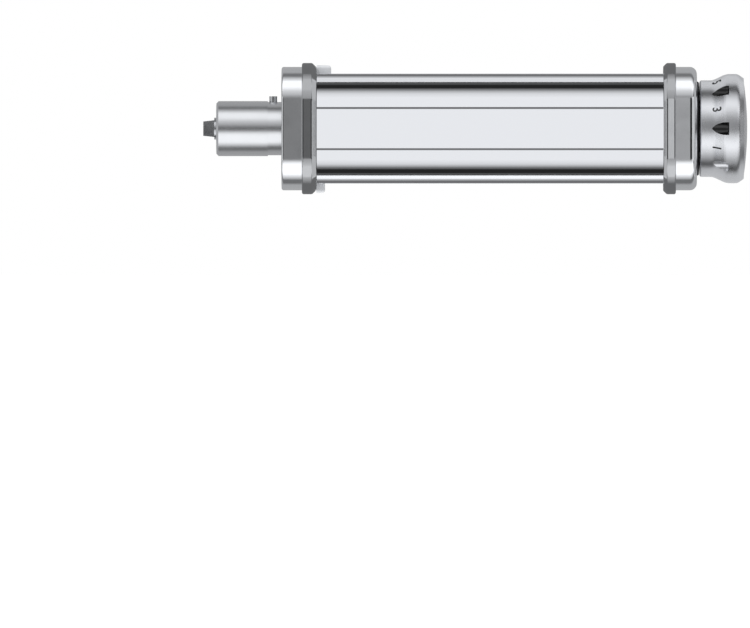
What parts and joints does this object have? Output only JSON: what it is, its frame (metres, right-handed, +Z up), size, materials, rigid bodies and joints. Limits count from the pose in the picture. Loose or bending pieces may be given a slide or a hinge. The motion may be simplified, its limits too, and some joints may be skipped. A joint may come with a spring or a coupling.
{
  "type": "pasta sheet roller",
  "caption": "Pasta sheet roller for a stand mixer's power hub: paired rollers in a chromed casing, hub spigot with square tang, and a pull-and-turn thickness knob.",
  "frame": {"origin": "on the drive axis, in the plane where the left housing meets the mixer's hub", "axes": "+X along the rollers from the hub spigot towards the knob, +Z up, -Y is the front cover's face"},
  "size_m": [0.249, 0.06, 0.06],
  "materials": {
    "polished_cast": "buffed and chrome plated casting",
    "cover_chrome": "mirror polished sheet",
    "rod_steel": "drawn bright bar",
    "screw_steel": "zinc plated",
    "spigot_steel": "turned, satin",
    "shaft_steel": "ground",
    "gear_steel": "hobbed, oiled",
    "roller_steel": "polished",
    "bronze": "sintered bronze",
    "block_cast": "die cast",
    "scraper_plastic": "moulded acetal",
    "guide_plastic": "moulded acetal",
    "knob_metal": "turned, satin",
    "spring_steel": "spring wire",
    "black_ring": "moulded nylon"
  },
  "bodies": {
    "frame": {"left_housing": "polished_cast", "left_end_plate": "polished_cast", "right_end_plate": "polished_cast", "right_housing": "polished_cast", "front_cover": "cover_chrome", "rear_cover": "cover_chrome", "frame_rod_front_low": "rod_steel", "frame_rod_rear_low": "rod_steel", "frame_rod_rear_top": "rod_steel", "frame_rod_front_top": "rod_steel", "left_housing_screws": "screw_steel", "right_housing_screws": "screw_steel", "hub_spigot": "spigot_steel", "locating_pin": "spigot_steel", "index_pin": "shaft_steel", "shaft_bush_outer": "bronze", "shaft_bush_inner": "bronze", "fixed_bush_left": "bronze", "fixed_bush_right": "bronze", "adjuster_bush": "bronze", "front_scraper": "scraper_plastic", "left_inlet_guide": "guide_plastic", "right_inlet_guide": "guide_plastic", "left_outlet_guide": "guide_plastic", "right_outlet_guide": "guide_plastic", "seal_ring": "black_ring"},
    "drive": {"drive_shaft": "shaft_steel", "drive_pinion": "gear_steel", "shaft_circlip": "screw_steel"},
    "fixed_roller_set": {"fixed_roller": "roller_steel", "fixed_roller_left_axle": "shaft_steel", "fixed_roller_right_axle": "shaft_steel", "step_gear": "gear_steel", "fixed_sync_gear": "gear_steel"},
    "carriage": {"left_slide_block": "block_cast", "right_slide_block": "block_cast", "left_block_bush": "bronze", "right_block_bush": "bronze", "carriage_bar_upper": "rod_steel", "carriage_bar_lower": "rod_steel", "rear_scraper": "scraper_plastic"},
    "adjustable_roller_set": {"adjustable_roller": "roller_steel", "adjustable_roller_left_axle": "shaft_steel", "adjustable_roller_right_axle": "shaft_steel", "adjustable_sync_gear": "gear_steel"},
    "adjuster": {"adjuster_shaft": "shaft_steel", "adjuster_cam": "gear_steel", "knob_screw": "screw_steel", "spring_washer": "screw_steel", "knob_spring": "spring_steel"},
    "knob_body": {"knob": "knob_metal", "knob_cap": "knob_metal"}
  },
  "joints": [
    {"name": "fixed_roller_spin", "type": "hinge", "parent": "frame", "child": "fixed_roller_set", "pos_m": [0, -0.0125, 0], "axis": [1, 0, 0], "continuous": true},
    {"name": "drive_spin", "type": "hinge", "parent": "frame", "child": "drive", "pos_m": [0, 0, 0], "axis": [1, 0, 0], "continuous": true},
    {"name": "adjuster_turn", "type": "hinge", "parent": "frame", "child": "adjuster", "pos_m": [0, 0, 0], "axis": [1, 0, 0], "range_deg": [0, 157.5]},
    {"name": "roller_gap", "type": "slide", "parent": "frame", "child": "carriage", "axis": [0, -1, 0], "range_m": [0, 0.0028]},
    {"name": "adjustable_roller_spin", "type": "hinge", "parent": "carriage", "child": "adjustable_roller_set", "pos_m": [0, 0.0125, 0], "axis": [1, 0, 0], "continuous": true},
    {"name": "knob_pull", "type": "slide", "parent": "adjuster", "child": "knob_body", "axis": [1, 0, 0], "range_m": [0, 0.004], "stiffness_N_per_m": 900, "springref_m": -0.003, "deforming": ["knob_spring"]}
  ],
  "couplings": [
    {"joint": "drive_spin", "follows": "fixed_roller_spin", "ratio": -1.5},
    {"joint": "adjustable_roller_spin", "follows": "fixed_roller_spin", "ratio": -1},
    {"joint": "roller_gap", "follows": "adjuster_turn", "m_per_rad": 0.0010186}
  ]
}
